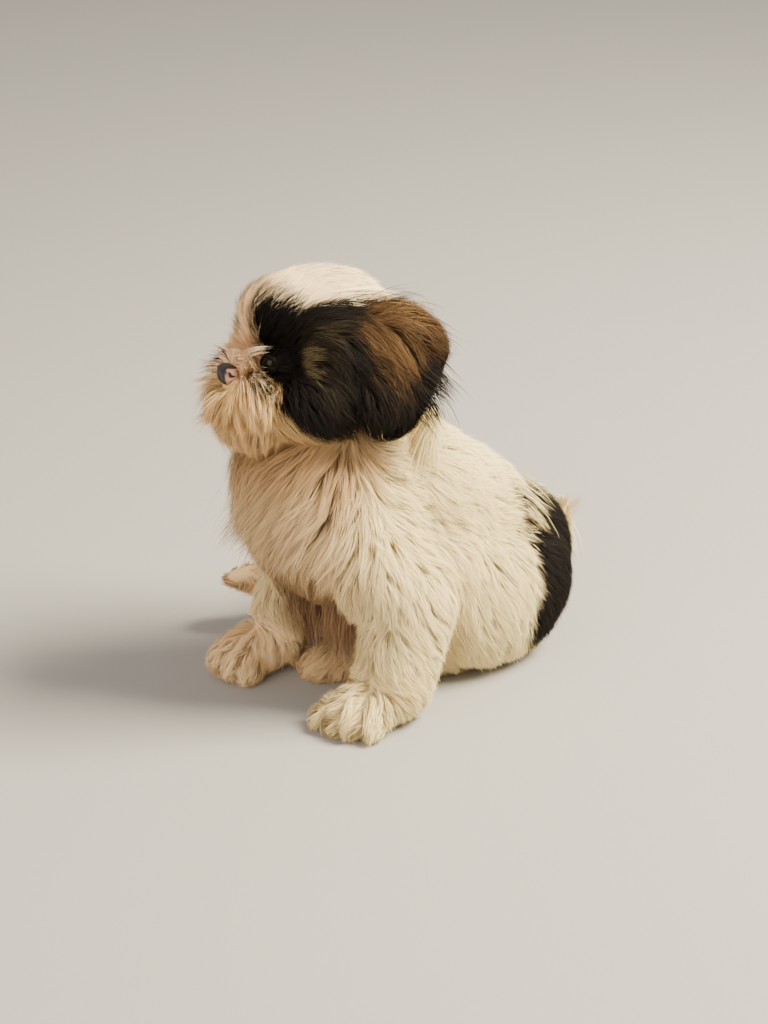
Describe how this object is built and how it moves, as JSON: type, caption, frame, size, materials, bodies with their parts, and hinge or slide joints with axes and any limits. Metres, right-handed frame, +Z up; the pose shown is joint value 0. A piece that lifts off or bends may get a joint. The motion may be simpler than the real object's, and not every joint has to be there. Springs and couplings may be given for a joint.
{
  "type": "sitting shih tzu puppy still model",
  "caption": "Life-size still model of a sitting long-coated puppy: body, head, ears, tail and legs with a flowing white coat, dark ears and eye patch.",
  "frame": {"origin": "centre of the base of the model's box, on the plane it sits on", "axes": "+Z up; -X the way the body faces; +Y towards the dog's right"},
  "size_m": [0.2116, 0.1418, 0.2165],
  "materials": {
    "white_coat": "soft long hair, cream white",
    "dark_coat": "soft long hair, black to brown",
    "nose_skin": "damp bare skin, pink with black patches",
    "eye": "wet, dark brown"
  },
  "bodies": {
    "root": {"head": "white_coat", "nose": "nose_skin", "eye_left": "eye", "eye_right": "eye", "ear_left": "dark_coat", "ear_right": "dark_coat", "neck": "white_coat", "torso": "white_coat", "tail": "white_coat", "foreleg_left": "white_coat", "foreleg_right": "white_coat", "hindleg_left": "white_coat", "hindleg_right": "white_coat"}
  },
  "joints": []
}
